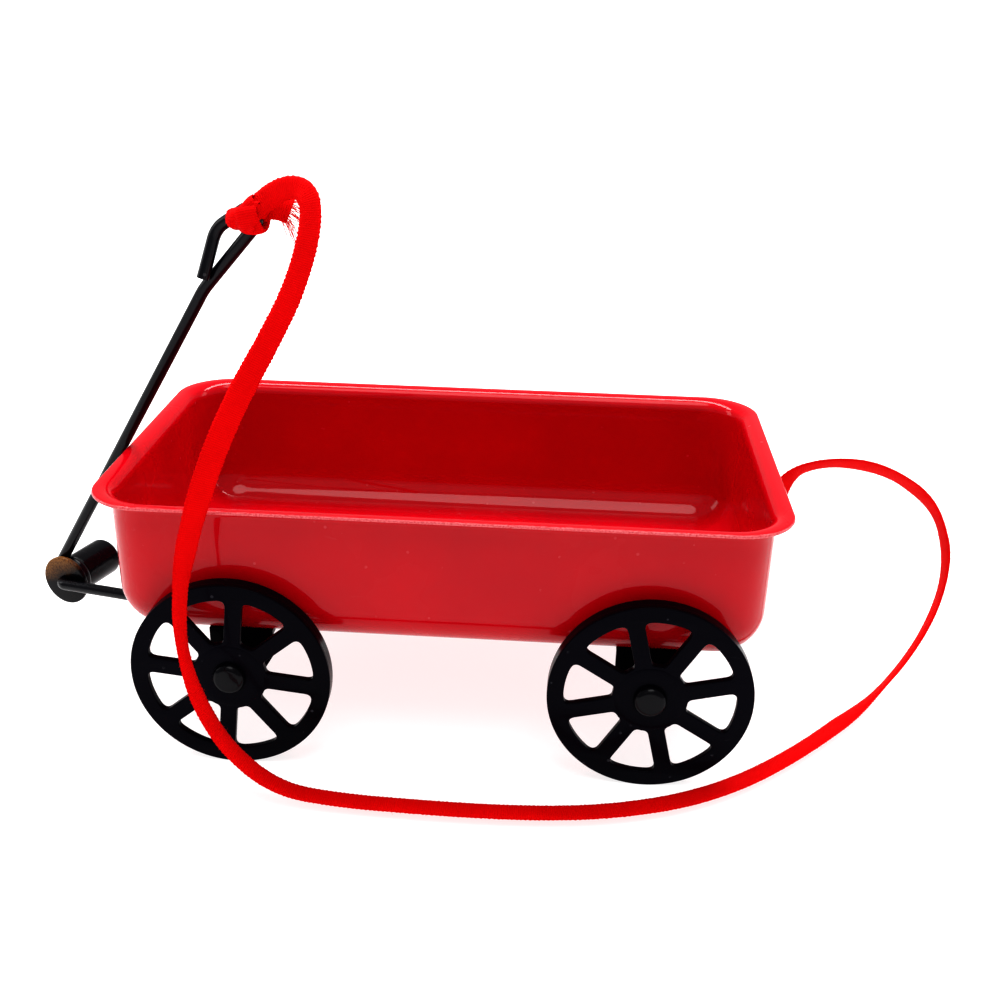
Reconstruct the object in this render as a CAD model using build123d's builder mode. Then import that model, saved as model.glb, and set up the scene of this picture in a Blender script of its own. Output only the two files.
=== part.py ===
"""Miniature pull wagon with a hanging ribbon, in millimetres.

X runs from the front (-X) to the rear (+X), Y across the wagon, +Z up.
The origin is on the floor, below the middle of the wagon and its tongue.
"""
import os
from math import cos, pi, radians, sin, tan

from build123d import *

os.makedirs("parts", exist_ok=True)

CENTRE_X = 9.17         # middle of the tray

# ---- tray ----
TRAY_L = 100.0          # over the lip
TRAY_W = 60.0
LIP_OUT = 2.3           # lip beyond the wall
LIP_BEND = 1.9          # inside radius of the bend into the lip
LIP_Z = 40.2
FLOOR_Z = 18.4          # underside of the floor
SHEET = 0.6
WALL_CORNER = 7.5       # outside radius of the upright corners
LIP_CORNER = 8.6
FLOOR_BEND = 6.6
BODY_L = TRAY_L - 2 * LIP_OUT
BODY_W = TRAY_W - 2 * LIP_OUT

# ---- wheels and axles ----
WHEEL_R = 14.7
FRONT_X = CENTRE_X - 29.4
REAR_X = CENTRE_X + 31.35
FACE_Y = 31.2           # outer face of a wheel, from the middle
TREAD_W = 2.8
RIM_IN = 12.3
FLANGE_IN = 13.7
PLATE_T = 1.2
HUB_DISC_R = 5.4
HUB_RAISE = 0.2
BOSS_R = 2.4
SPOKES = 8
SPOKE_W = 2.4
AXLE_R = 1.0
AXLE_BORE = 1.05
AXLE_HALF = 32.2
CAP_R = 2.4
CAP_T = 1.2

# ---- axle brackets ----
BRACKET_L = 9.6
BRACKET_T = 0.8
LEG_Y = 23.5            # outer face of a leg
LEG_LOW = 10.6
RIVET_R = 1.0
RIVET_HEAD_R = 1.7
RIVET_HEAD_T = 0.7
RIVET_Y = 13.2
RIVET_DX = 2.7          # rivets stand this far from the axle line

# ---- tongue and handle ----
WIRE_R = 0.9
YAW = 18.0              # the tongue wire runs slantwise in plan
EYE_MEAN = 1.95
TONGUE_RUN = 33.7        # in plan, from the eye to the pivot pin
PIN_Z = 14.7
PIN_BEND = 1.3
PIN_END = 11.5
FLANGE_R = 4.15
FLANGE_T = 0.9
NECK_R = 1.85
BARREL_R = 3.15
BARREL_END = 12.6
HANDLE_EYE = 2.8
HANDLE_LANE = 3.15      # handle plane, measured along the pin
LEAN = 33.4             # handle from upright, resting on the front lip
HANDLE_STRAIGHT = 59.9

# ---- ribbon, tied to the grip and to the rear of the tray; route from the grip ----
RIBBON_W = 3.2
KNOT_R = 1.9
WRAP_R = 2.2
GRIP_KNOT = (-17.5, -13.85, 77.4)
REAR_KNOT = (58.8, -1.9, 33.2)
ROUTE = [
    (-16.0, -14.2, 78.7), (-13.3, -14.8, 81.1), (-9.1, -16.3, 81.6), (-8.0, -18.3, 77.7),
    (-9.8, -22.0, 70.0), (-13.0, -25.5, 63.4), (-16.8, -29.0, 56.6), (-20.0, -32.4, 49.2),
    (-22.6, -35.0, 41.0), (-24.5, -37.0, 32.2), (-24.7, -38.3, 23.6), (-22.7, -39.5, 15.6),
    (-18.4, -40.6, 8.2), (-11.6, -41.2, 2.6), (-2.7, -41.6, 1.65), (6.7, -42.0, 1.65),
    (17.3, -42.2, 1.65), (28.6, -41.6, 1.65), (37.7, -39.8, 1.65), (46.4, -36.6, 1.65),
    (54.4, -31.6, 1.65), (62.0, -24.8, 1.65), (69.8, -16.4, 1.65), (77.8, -6.8, 2.0),
    (84.0, 0.2, 4.8), (88.1, 4.0, 10.2), (90.1, 6.0, 16.8), (89.8, 7.0, 23.6), (86.8, 6.5, 30.2),
    (81.8, 5.0, 35.0), (76.0, 3.0, 38.2), (70.1, 1.0, 39.8), (65.0, -0.5, 39.7), (61.4, -1.3, 38.2),
    (59.7, -1.7, 34.95),
]


def rounded_plate(length, width, corner, bottom, height, bend=0.0):
    """Flat plate with rounded corners, its lower edge bent in by a radius."""
    with BuildPart() as plate:
        with BuildSketch(Plane.XY.offset(bottom)), Locations((CENTRE_X, 0)):
            RectangleRounded(length, width, corner)
        extrude(amount=height)
        if bend:
            fillet(plate.faces().sort_by(Axis.Z)[0].edges(), bend)
    return plate.part


# ---------------------------------------------------------------- tray
with BuildPart() as tray:
    add(rounded_plate(BODY_L, BODY_W, WALL_CORNER, FLOOR_Z, LIP_Z - FLOOR_Z, FLOOR_BEND))
    add(rounded_plate(TRAY_L, TRAY_W, LIP_CORNER, LIP_Z - SHEET, SHEET))
    wall = tray.faces().filter_by(Axis.Z).group_by(Axis.Z)[-2].sort_by(SortBy.AREA)[-1]
    fillet(wall.inner_wires().edges(), LIP_BEND - SHEET)
    add(rounded_plate(BODY_L - 2 * SHEET, BODY_W - 2 * SHEET, WALL_CORNER - SHEET, FLOOR_Z + SHEET, 30,
                      FLOOR_BEND - SHEET), mode=Mode.SUBTRACT)
    fillet(tray.faces().sort_by(Axis.Z)[-1].inner_wires().edges(), LIP_BEND)
    fillet(tray.faces().sort_by(Axis.Z)[-1].outer_wire().edges(), 0.25)
    with Locations((FRONT_X - RIVET_DX, RIVET_Y, FLOOR_Z), (FRONT_X - RIVET_DX, -RIVET_Y, FLOOR_Z),
                   (REAR_X + RIVET_DX, RIVET_Y, FLOOR_Z), (REAR_X + RIVET_DX, -RIVET_Y, FLOOR_Z)):
        Cylinder(RIVET_R, 4, mode=Mode.SUBTRACT)
tray.part.label = "tray"


def make_bracket(axle_x, rivet_x):
    """Folded saddle that hangs under the floor and carries one axle."""
    with BuildPart() as bracket:
        with Locations((axle_x, 0, FLOOR_Z - BRACKET_T / 2)):
            Box(BRACKET_L, 2 * LEG_Y, BRACKET_T)
        with BuildSketch(Plane.XZ.offset(-LEG_Y)):
            with BuildLine():
                Polyline((axle_x - BRACKET_L / 2, FLOOR_Z), (axle_x - BRACKET_L / 2, PIN_Z - 0.4),
                         (axle_x - 2.6, LEG_LOW), (axle_x + 2.6, LEG_LOW),
                         (axle_x + BRACKET_L / 2, PIN_Z - 0.4), (axle_x + BRACKET_L / 2, FLOOR_Z),
                         close=True)
            make_face()
        extrude(amount=BRACKET_T)
        mirror(bracket.part, about=Plane.XZ)
        fillet(bracket.edges().filter_by(Axis.Y).group_by(Axis.Z)[0], 1.4)
        with Locations((rivet_x, RIVET_Y, FLOOR_Z), (rivet_x, -RIVET_Y, FLOOR_Z)):
            Cylinder(RIVET_R, 4, mode=Mode.SUBTRACT)
        with Locations(Location((axle_x, 0, WHEEL_R), (90, 0, 0))):
            Cylinder(AXLE_R, 4 * LEG_Y, mode=Mode.SUBTRACT)
    return bracket.part


front_bracket = make_bracket(FRONT_X, FRONT_X - RIVET_DX)
front_bracket.label = "front_axle_bracket"
rear_bracket = make_bracket(REAR_X, REAR_X + RIVET_DX)
rear_bracket.label = "rear_axle_bracket"


def make_rivet(x, y, foot, low_head):
    """Rivet set flush in the tray floor, with a low head under foot."""
    with BuildPart() as rivet:
        for radius, low, high in ((RIVET_R, foot, FLOOR_Z + SHEET - 0.05),
                                  (RIVET_HEAD_R, foot - low_head, foot)):
            with Locations((x, y, low)):
                Cylinder(radius, high - low, align=(Align.CENTER, Align.CENTER, Align.MIN))
        chamfer(rivet.faces().sort_by(Axis.Z)[0].edges(), 0.2)
    return rivet.part


UNDER = FLOOR_Z - BRACKET_T
EYE_FOOT = UNDER - 2 * WIRE_R
with BuildPart() as rivets:
    add(make_rivet(FRONT_X - RIVET_DX, RIVET_Y, UNDER, RIVET_HEAD_T))
    add(make_rivet(REAR_X + RIVET_DX, RIVET_Y, UNDER, RIVET_HEAD_T))
    add(make_rivet(REAR_X + RIVET_DX, -RIVET_Y, UNDER, RIVET_HEAD_T))
rivets.part.label = "bracket_rivets"
with BuildPart() as tongue_rivet:
    add(make_rivet(FRONT_X - RIVET_DX, -RIVET_Y, EYE_FOOT, 0.45))
tongue_rivet.part.label = "tongue_rivet"

# ---------------------------------------------------------------- axles, spacers, caps
def y_rod(radius, x, y0, y1, bore=0.0):
    """Cylinder along Y at axle height, between y0 and y1, with an optional bore."""
    low, high = min(y0, y1), max(y0, y1)
    with BuildPart() as rod:
        with BuildSketch(Plane(origin=(x, low, WHEEL_R), x_dir=(1, 0, 0), z_dir=(0, 1, 0))):
            Circle(radius)
            if bore:
                Circle(bore, mode=Mode.SUBTRACT)
        extrude(amount=high - low)
    return rod.part


def make_axle(x):
    with BuildPart() as axle:
        add(y_rod(AXLE_R, x, -AXLE_HALF, AXLE_HALF))
        chamfer(axle.edges().filter_by(GeomType.CIRCLE), 0.2)
    return axle.part


SPACER_IN = LEG_Y + 0.05
SPACER_OUT = 25.6
BOSS_IN = SPACER_OUT + 0.1


def make_spacer(x, side):
    return y_rod(2.1, x, side * SPACER_IN, side * SPACER_OUT, bore=AXLE_R)


def make_cap(x, side):
    """Domed push-on cap on the end of an axle."""
    face = FACE_Y + HUB_RAISE + 0.1
    with BuildPart() as cap:
        add(y_rod(CAP_R, x, side * face, side * (face + CAP_T)))
        fillet(cap.edges().sort_by(Axis.Y)[-1 if side > 0 else 0], 0.8)
        add(y_rod(AXLE_R, x, side * (face - 0.1), side * AXLE_HALF), mode=Mode.SUBTRACT)
    return cap.part


# ---------------------------------------------------------------- wheels
def spoke_window():
    """One opening between two spokes, centred on the X axis, with rounded corners."""
    half = radians(180.0 / SPOKES)
    near = SPOKE_W / 2 / sin(half)
    reach = 20.0
    with BuildSketch() as window:
        Circle(RIM_IN)
        Circle(HUB_DISC_R, mode=Mode.SUBTRACT)
        with BuildSketch(mode=Mode.INTERSECT):
            with BuildLine():
                Polyline((near, 0), (near + reach, reach * tan(half)), (near + reach, -reach * tan(half)),
                         close=True)
            make_face()
        fillet(window.vertices(), 0.85)
    return window.sketch


def make_wheel(x, side, phase):
    """Pressed spoked wheel; side is -1 near, +1 far; phase turns the spokes."""
    outer = side * FACE_Y
    with BuildPart() as wheel:
        add(y_rod(WHEEL_R, x, outer, outer - side * TREAD_W))
        fillet(wheel.edges().sort_by(Axis.Y)[-1 if side > 0 else 0], 0.4)
        add(y_rod(FLANGE_IN, x, outer - side * PLATE_T, outer - side * (TREAD_W + 1)), mode=Mode.SUBTRACT)
        with BuildSketch(Plane(origin=(x, outer - 2, WHEEL_R), x_dir=(1, 0, 0), z_dir=(0, 1, 0))):
            with PolarLocations(0, SPOKES, start_angle=phase + 180.0 / SPOKES):
                add(spoke_window())
        extrude(amount=4, mode=Mode.SUBTRACT)
        add(y_rod(HUB_DISC_R - 0.4, x, outer - side * PLATE_T, outer + side * HUB_RAISE))
        add(y_rod(BOSS_R, x, side * BOSS_IN, outer))
        add(y_rod(AXLE_BORE, x, side * (BOSS_IN - 1), side * (FACE_Y + 2)), mode=Mode.SUBTRACT)
    return wheel.part


WHEELS = {"front_near": (FRONT_X, -1, 6.0), "front_far": (FRONT_X, 1, 20.0),
          "rear_near": (REAR_X, -1, -13.5), "rear_far": (REAR_X, 1, 33.0)}
front_axle = make_axle(FRONT_X)
front_axle.label = "front_axle"
rear_axle = make_axle(REAR_X)
rear_axle.label = "rear_axle"
corner_parts = []
for name, (x, side, phase) in WHEELS.items():
    for kind, solid in (("wheel", make_wheel(x, side, phase)), ("cap", make_cap(x, side)),
                        ("spacer", make_spacer(x, side))):
        solid.label = f"{name}_{kind}"
        corner_parts.append(solid)

# ---------------------------------------------------------------- tongue
yaw = radians(YAW)
FORWARD = Vector(-cos(yaw), sin(yaw), 0)
ALONG_PIN = Vector(sin(yaw), cos(yaw), 0)
eye_centre = Vector(FRONT_X - RIVET_DX, -RIVET_Y, UNDER - WIRE_R)
arm_start = eye_centre - ALONG_PIN * EYE_MEAN
arm_bend = arm_start + FORWARD * TONGUE_RUN
arm_bend = Vector(arm_bend.X, arm_bend.Y, PIN_Z)
pin_tip = arm_bend + ALONG_PIN * PIN_END

with BuildPart() as tongue_wire:
    with BuildLine() as arm_path:
        FilletPolyline(arm_start, arm_bend, pin_tip, radius=PIN_BEND)
    with BuildSketch(Plane(origin=arm_path.line @ 0, z_dir=arm_path.line % 0)):
        Circle(WIRE_R)
    sweep(path=arm_path.line)
    with Locations(eye_centre):
        Torus(EYE_MEAN, WIRE_R)
tongue_wire.part.label = "tongue_wire"


def on_pin(distance):
    """Plane square to the pin at a distance from the tongue arm."""
    return Plane(origin=arm_bend + ALONG_PIN * distance, x_dir=(0, 0, 1), z_dir=ALONG_PIN)


flange_in = HANDLE_LANE - WIRE_R - 0.05 - FLANGE_T
with BuildPart() as flange:
    with BuildSketch(on_pin(flange_in)):
        Circle(FLANGE_R)
        Circle(WIRE_R, mode=Mode.SUBTRACT)
    extrude(amount=FLANGE_T)
    fillet(flange.edges().filter_by(GeomType.CIRCLE).sort_by(SortBy.RADIUS)[-2:], 0.3)
flange.part.label = "pivot_flange"

body_in = HANDLE_LANE + WIRE_R + 0.05
with BuildPart() as barrel:
    with BuildSketch(on_pin(flange_in + FLANGE_T)):
        Circle(NECK_R)
    extrude(amount=body_in - flange_in - FLANGE_T)
    with BuildSketch(on_pin(body_in)):
        Circle(BARREL_R)
    extrude(amount=BARREL_END - body_in)
    fillet(barrel.edges().filter_by(GeomType.CIRCLE).sort_by_distance(on_pin(BARREL_END).origin)[0], 1.0)
    with BuildSketch(on_pin(flange_in)):
        Circle(WIRE_R)
    extrude(amount=PIN_END - flange_in, mode=Mode.SUBTRACT)
barrel.part.label = "pivot_barrel"

# ---------------------------------------------------------------- handle
lean = radians(LEAN)
pivot = arm_bend + ALONG_PIN * HANDLE_LANE
UP_ROD = Vector(cos(yaw) * sin(lean), -sin(yaw) * sin(lean), cos(lean))
TO_FRONT = Vector(-cos(yaw) * cos(lean), sin(yaw) * cos(lean), sin(lean))


def on_handle(along, front):
    """Point in the handle's plane: along the rod, and out to its front side."""
    return pivot + UP_ROD * along + TO_FRONT * (HANDLE_EYE + front)


with BuildPart() as handle:
    with BuildLine() as rod_path:
        FilletPolyline(on_handle(0, 0), on_handle(HANDLE_STRAIGHT, 0), on_handle(74.1, -2.5),
                       on_handle(74.6, -0.2), on_handle(68.7, 2.5),
                       on_handle(62.2, 0.1) - ALONG_PIN * 1.8, radius=[12.0, 1.35, 1.35, 3.5])
    with BuildSketch(Plane(origin=rod_path.line @ 0, z_dir=rod_path.line % 0)):
        Circle(WIRE_R)
    sweep(path=rod_path.line)
    with BuildSketch(Plane(origin=pivot + TO_FRONT * HANDLE_EYE, x_dir=TO_FRONT, z_dir=UP_ROD)):
        Circle(WIRE_R)
    revolve(axis=Axis(pivot, ALONG_PIN), revolution_arc=360)
handle.part.label = "pull_handle"

# ---------------------------------------------------------------- ribbon
with BuildPart() as grip_knot:
    with Locations(on_handle(73.3, -0.9)):
        Sphere(WRAP_R)
    with Locations(GRIP_KNOT):
        Sphere(KNOT_R)
grip_knot.part.label = "ribbon_grip_knot"

with BuildPart() as tail:
    with Locations((-13.0, -12.6, 77.3)):
        Box(6.0, 0.6, 2.0)
    add(grip_knot.part, mode=Mode.SUBTRACT)
tail.part.label = "ribbon_tail"

with BuildPart() as rear_knot:
    with Locations(REAR_KNOT):
        Sphere(KNOT_R)
rear_knot.part.label = "ribbon_rear_knot"

route = [Vector(*point) for point in ROUTE]
radii = []
for before, here, after in zip(route, route[1:], route[2:]):
    turn = (here - before).get_angle(after - here)
    shorter = min((here - before).length, (after - here).length)
    radii.append(0.45 * shorter / tan(radians(turn / 2)))
    print(f"ribbon run {(here - before).length:5.1f}  turn {turn:5.1f}  radius {radii[-1]:6.1f}")
with BuildPart() as ribbon:
    with BuildLine() as ribbon_path:
        FilletPolyline(*route, radius=radii)
    with BuildSketch(Plane(origin=ribbon_path.line @ 0, z_dir=ribbon_path.line % 0)):
        Circle(RIBBON_W / 2)
    sweep(path=ribbon_path.line)
ribbon.part.label = "ribbon"
ribbon_length = sum(edge.length for edge in ribbon_path.line.edges())
print("ribbon length", ribbon_length, "volume", ribbon.part.volume,
      "section x length", pi * (RIBBON_W / 2) ** 2 * ribbon_length)
print("pivot", pivot, "pin direction", ALONG_PIN)

for part in (tray, rivets, tongue_rivet, tongue_wire, flange, barrel, handle,
             grip_knot, tail, rear_knot, ribbon):
    export_step(part.part, f"parts/{part.part.label}.step")
for solid in (front_bracket, rear_bracket, front_axle, rear_axle, *corner_parts):
    export_step(solid, f"parts/{solid.label}.step")
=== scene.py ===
"""Looks of a miniature pull wagon with a hanging ribbon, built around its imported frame.

Every length in the dimension tables is in millimetres in the shared frame, and `mm` turns it into
metres. X runs to the rear of the wagon, Y to its far side, Z up; the floor is at zero.
"""
from __future__ import annotations

import logging
import math
import random
from dataclasses import dataclass
from enum import Enum
from typing import Iterable, Sequence, Union

import bmesh
import bpy
from mathutils import Matrix, Vector

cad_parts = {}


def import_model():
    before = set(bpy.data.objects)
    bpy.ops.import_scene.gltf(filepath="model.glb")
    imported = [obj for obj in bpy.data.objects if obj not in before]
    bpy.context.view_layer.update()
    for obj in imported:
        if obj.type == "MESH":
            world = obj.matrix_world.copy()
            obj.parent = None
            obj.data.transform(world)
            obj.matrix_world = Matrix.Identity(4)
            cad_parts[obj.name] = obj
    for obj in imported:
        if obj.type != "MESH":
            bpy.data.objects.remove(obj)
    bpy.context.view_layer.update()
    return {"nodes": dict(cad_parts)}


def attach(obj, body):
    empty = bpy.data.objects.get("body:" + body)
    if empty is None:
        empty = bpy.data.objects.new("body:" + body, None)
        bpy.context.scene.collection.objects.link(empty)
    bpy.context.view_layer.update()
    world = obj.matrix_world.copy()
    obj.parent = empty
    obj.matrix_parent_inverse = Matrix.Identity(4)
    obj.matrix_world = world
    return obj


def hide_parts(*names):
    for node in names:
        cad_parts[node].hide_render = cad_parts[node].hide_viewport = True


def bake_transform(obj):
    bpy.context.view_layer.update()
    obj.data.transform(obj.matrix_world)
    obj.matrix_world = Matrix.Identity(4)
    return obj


logging.basicConfig(level=logging.INFO, format="%(message)s")
LOG = logging.getLogger("wagon")

MM = 0.001
SEED = 7


class Slot(str, Enum):
    """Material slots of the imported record."""

    RED_ENAMEL = "red_enamel"
    BLACK_ENAMEL = "black_enamel"
    BLACK_GLOSS = "black_gloss"
    BLACK_WIRE = "black_wire"
    STEEL = "steel"
    RIBBON = "red_ribbon"


class Body(str, Enum):
    """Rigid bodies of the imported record."""

    WAGON = "wagon"
    HANDLE = "handle"


# ---------------------------------------------------------------- dimensions, in millimetres
CENTRE_X = 9.17
TRAY_HALF = (47.7, 27.7)
LIP_OUT = 2.3
LIP_Z = 40.2
FLOOR_Z = 18.4
SHEET = 0.6
WALL_CORNER = 7.5
LIP_CORNER_GROWTH = 1.1
FLOOR_BEND = 6.6
WHEEL_R = 14.7
FRONT_X = CENTRE_X - 29.4
REAR_X = CENTRE_X + 31.35
FACE_Y = 31.2
TREAD_W = 2.8
RIM_IN = 12.3
HUB_DISC_R = 5.4
SPOKES = 8
SPOKE_W = 2.4
WIRE_R = 0.9
YAW = math.radians(18.0)
LEAN = math.radians(33.4)
PIVOT_Z = 14.7
RIBBON_W = 3.2
RIVET_DX = 2.7
RIVET_Y = 13.2
EYE_Z = 16.7
TONGUE_RUN = 33.7
PIN_END = 11.5

FORWARD = Vector((-math.cos(YAW), math.sin(YAW), 0.0))
ALONG_PIN = Vector((math.sin(YAW), math.cos(YAW), 0.0))
UP_ROD = Vector((math.cos(YAW) * math.sin(LEAN), -math.sin(YAW) * math.sin(LEAN), math.cos(LEAN)))
TO_FRONT = Vector((-math.cos(YAW) * math.cos(LEAN), math.sin(YAW) * math.cos(LEAN), math.sin(LEAN)))
EYE_CENTRE = Vector((FRONT_X - RIVET_DX, -RIVET_Y, EYE_Z))
EYE_MEAN = 1.95
ARM_START = EYE_CENTRE - ALONG_PIN * EYE_MEAN
ARM_BEND = Vector((*(ARM_START + FORWARD * TONGUE_RUN).xy, PIVOT_Z))
HANDLE_LANE = 3.15
HANDLE_EYE = 2.8
PIVOT = ARM_BEND + ALONG_PIN * HANDLE_LANE

# The ribbon's control points in metres, from the grip to the rear of the tray.
ROUTE = [
    (-0.0160, -0.0142, 0.0787), (-0.0133, -0.0148, 0.0811), (-0.0091, -0.0163, 0.0816),
    (-0.0080, -0.0183, 0.0777), (-0.0098, -0.0220, 0.0700), (-0.0130, -0.0255, 0.0634),
    (-0.0168, -0.0290, 0.0566), (-0.0200, -0.0324, 0.0492), (-0.0226, -0.0350, 0.0410),
    (-0.0245, -0.0370, 0.0322), (-0.0247, -0.0383, 0.0236), (-0.0227, -0.0395, 0.0156),
    (-0.0184, -0.0406, 0.0082), (-0.0116, -0.0412, 0.0026), (-0.0027, -0.0416, 0.00165),
    (0.0067, -0.0420, 0.00165), (0.0173, -0.0422, 0.00165), (0.0286, -0.0416, 0.00165),
    (0.0377, -0.0398, 0.00165), (0.0464, -0.0366, 0.00165), (0.0544, -0.0316, 0.00165),
    (0.0620, -0.0248, 0.00165), (0.0698, -0.0164, 0.00165), (0.0778, -0.0068, 0.0020),
    (0.0840, 0.0002, 0.0048), (0.0881, 0.0040, 0.0102), (0.0901, 0.0060, 0.0168),
    (0.0898, 0.0070, 0.0236), (0.0868, 0.0065, 0.0302), (0.0818, 0.0050, 0.0350),
    (0.0760, 0.0030, 0.0382), (0.0701, 0.0010, 0.0398), (0.0650, -0.0005, 0.0397),
    (0.0614, -0.0013, 0.0382), (0.0597, -0.0017, 0.03495),
]
# Which way the ribbon's face looks, at a distance from its grip end in millimetres.
FACES = [
    (0.0, (-0.30, -0.86, 0.40)), (7.0, (0.05, -0.92, 0.38)), (14.0, (0.10, -0.93, 0.35)),
    (34.0, (0.20, -0.90, 0.38)), (48.0, (0.45, -0.80, 0.40)), (58.0, (0.72, -0.62, 0.32)),
    (66.0, (0.93, -0.32, 0.17)), (74.0, (0.97, -0.12, 0.22)), (82.0, (0.85, -0.20, 0.50)),
    (92.0, (0.40, -0.10, 0.92)), (102.0, (0.05, 0.00, 1.00)), (150.0, (0.00, 0.00, 1.00)),
    (190.0, (-0.25, 0.05, 1.00)), (206.0, (-0.75, 0.25, 0.60)), (222.0, (-0.95, 0.05, 0.25)),
    (234.0, (-0.80, -0.25, -0.35)), (246.0, (-0.30, -0.62, -0.72)), (258.0, (0.15, -0.68, -0.72)),
    (268.0, (0.00, -0.75, -0.65)), (275.0, (-0.60, -0.55, -0.45)),
]


def mm(*values: float) -> Vector:
    """Point or direction in millimetres, returned in metres."""
    return Vector(values) * MM


def on_handle(along: float, front: float) -> Vector:
    """Point in the handle's plane.

    Args:
        along: millimetres up the rod from the pivot.
        front: millimetres out to the front of the rod.

    Returns:
        The point in millimetres.
    """
    return PIVOT + UP_ROD * along + TO_FRONT * (HANDLE_EYE + front)


# ---------------------------------------------------------------- mesh helpers
def mesh_object(name: str, verts: Iterable[Sequence[float]], faces: Iterable[Sequence[int]],
                smooth_angle: float = 40.0) -> bpy.types.Object:
    """Mesh object with outward faces and smooth shading below an edge angle.

    Args:
        name: the piece's name.
        verts: points in metres.
        faces: vertex indices of each face.
        smooth_angle: degrees above which an edge stays sharp.

    Returns:
        The linked object, at the origin.
    """
    mesh = bpy.data.meshes.new(name)
    mesh.from_pydata([tuple(v) for v in verts], [], [tuple(f) for f in faces])
    mesh.validate()
    piece = bpy.data.objects.new(name, mesh)
    bpy.context.scene.collection.objects.link(piece)
    tidy_normals(mesh, smooth_angle)
    return piece


def tidy_normals(mesh: bpy.types.Mesh, smooth_angle: float) -> None:
    """Turn faces outward, shade them smooth and mark the sharp edges.

    Args:
        mesh: the mesh to change.
        smooth_angle: degrees above which an edge stays sharp.
    """
    work = bmesh.new()
    work.from_mesh(mesh)
    bmesh.ops.recalc_face_normals(work, faces=work.faces)
    limit = math.radians(smooth_angle)
    for edge in work.edges:
        edge.smooth = len(edge.link_faces) != 2 or edge.calc_face_angle(0.0) < limit
    for face in work.faces:
        face.smooth = True
    work.to_mesh(mesh)
    work.free()


def join(name: str, pieces: Sequence[bpy.types.Object]) -> bpy.types.Object:
    """Join pieces into one mesh object at the origin.

    Args:
        name: the joined piece's name.
        pieces: the pieces, which are removed.

    Returns:
        The joined object with all their materials.
    """
    work = bmesh.new()
    materials: list[bpy.types.Material] = []
    for piece in pieces:
        part = piece.data.copy()
        part.transform(piece.matrix_world)
        for material in piece.data.materials:
            if material not in materials:
                materials.append(material)
        work.from_mesh(part)
        bpy.data.meshes.remove(part)
    mesh = bpy.data.meshes.new(name)
    work.to_mesh(mesh)
    work.free()
    for piece in pieces:
        bpy.data.objects.remove(piece, do_unlink=True)
    for material in materials:
        mesh.materials.append(material)
    joined = bpy.data.objects.new(name, mesh)
    bpy.context.scene.collection.objects.link(joined)
    return joined


def lathe(name: str, profile: Sequence[tuple[float, float]], origin: Vector, axis: Vector,
          segments: int = 96, smooth_angle: float = 40.0) -> bpy.types.Object:
    """Turned piece.

    Args:
        name: the piece's name.
        profile: (radius, distance along the axis) in millimetres, from one end to the other.
            A closed ring repeats its first point at the end.
        origin: a point on the axis, in millimetres.
        axis: the axis direction.
        segments: steps round.
        smooth_angle: degrees above which an edge stays sharp.

    Returns:
        The object.
    """
    axis = axis.normalized()
    side = axis.orthogonal().normalized()
    up = axis.cross(side)
    verts: list[Vector] = []
    rings: list[list[int]] = []
    for radius, along in profile:
        ring = []
        count = 1 if radius < 1e-6 else segments
        for step in range(count):
            angle = math.tau * step / segments
            ring.append(len(verts))
            verts.append((origin + axis * along
                          + (side * math.cos(angle) + up * math.sin(angle)) * radius) * MM)
        rings.append(ring)
    faces = []
    for low, high in zip(rings, rings[1:]):
        for step in range(segments):
            after = (step + 1) % segments
            quad = [low[step % len(low)], low[after % len(low)], high[after % len(high)],
                    high[step % len(high)]]
            face = list(dict.fromkeys(quad))
            if len(face) > 2:
                faces.append(face)
    piece = mesh_object(name, verts, faces, smooth_angle)
    weld(piece.data)
    tidy_normals(piece.data, smooth_angle)
    return piece


def weld(mesh: bpy.types.Mesh, distance: float = 1e-7) -> None:
    """Merge points that lie on each other.

    Args:
        mesh: the mesh to change.
        distance: metres within which points merge.
    """
    work = bmesh.new()
    work.from_mesh(mesh)
    bmesh.ops.remove_doubles(work, verts=work.verts, dist=distance)
    work.to_mesh(mesh)
    work.free()


def rounded(points: Sequence[tuple[float, float]], radii: Sequence[float],
            steps: int = 8) -> list[tuple[float, float]]:
    """Round the inner corners of a flat outline.

    Args:
        points: the outline, open, in millimetres.
        radii: one radius for each point between the two ends.
        steps: arc steps for each corner.

    Returns:
        The outline with arcs in place of its corners.
    """
    result = [points[0]]
    for before, here, after, radius in zip(points, points[1:], points[2:], radii):
        b, h, a = Vector(before), Vector(here), Vector(after)
        u, v = (b - h).normalized(), (a - h).normalized()
        half = u.angle(v) / 2
        reach = radius / math.tan(half)
        centre = h + (u + v).normalized() * (radius / math.sin(half))
        start, end = h + u * reach - centre, h + v * reach - centre
        sweep = start.angle_signed(end)
        for step in range(steps + 1):
            angle = -sweep * step / steps
            result.append(tuple(centre + Matrix.Rotation(angle, 2) @ start))
    result.append(points[-1])
    return result


def bent(points: Sequence[Vector], radii: Sequence[float], steps: int = 14) -> list[Vector]:
    """Round the corners of a wire's path in space.

    Args:
        points: the path's corners, in millimetres.
        radii: one radius for each point between the two ends.
        steps: arc steps for each corner.

    Returns:
        The path with arcs in place of its corners.
    """
    result = [points[0].copy()]
    for before, here, after, radius in zip(points, points[1:], points[2:], radii):
        u, v = (before - here).normalized(), (after - here).normalized()
        half = u.angle(v) / 2
        reach = radius / math.tan(half)
        centre = here + (u + v).normalized() * (radius / math.sin(half))
        start, end = here + u * reach - centre, here + v * reach - centre
        turn = start.rotation_difference(end)
        axis, sweep = turn.to_axis_angle()
        for step in range(steps + 1):
            result.append(centre + Matrix.Rotation(sweep * step / steps, 3, axis) @ start)
    result.append(points[-1].copy())
    return result


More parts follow.
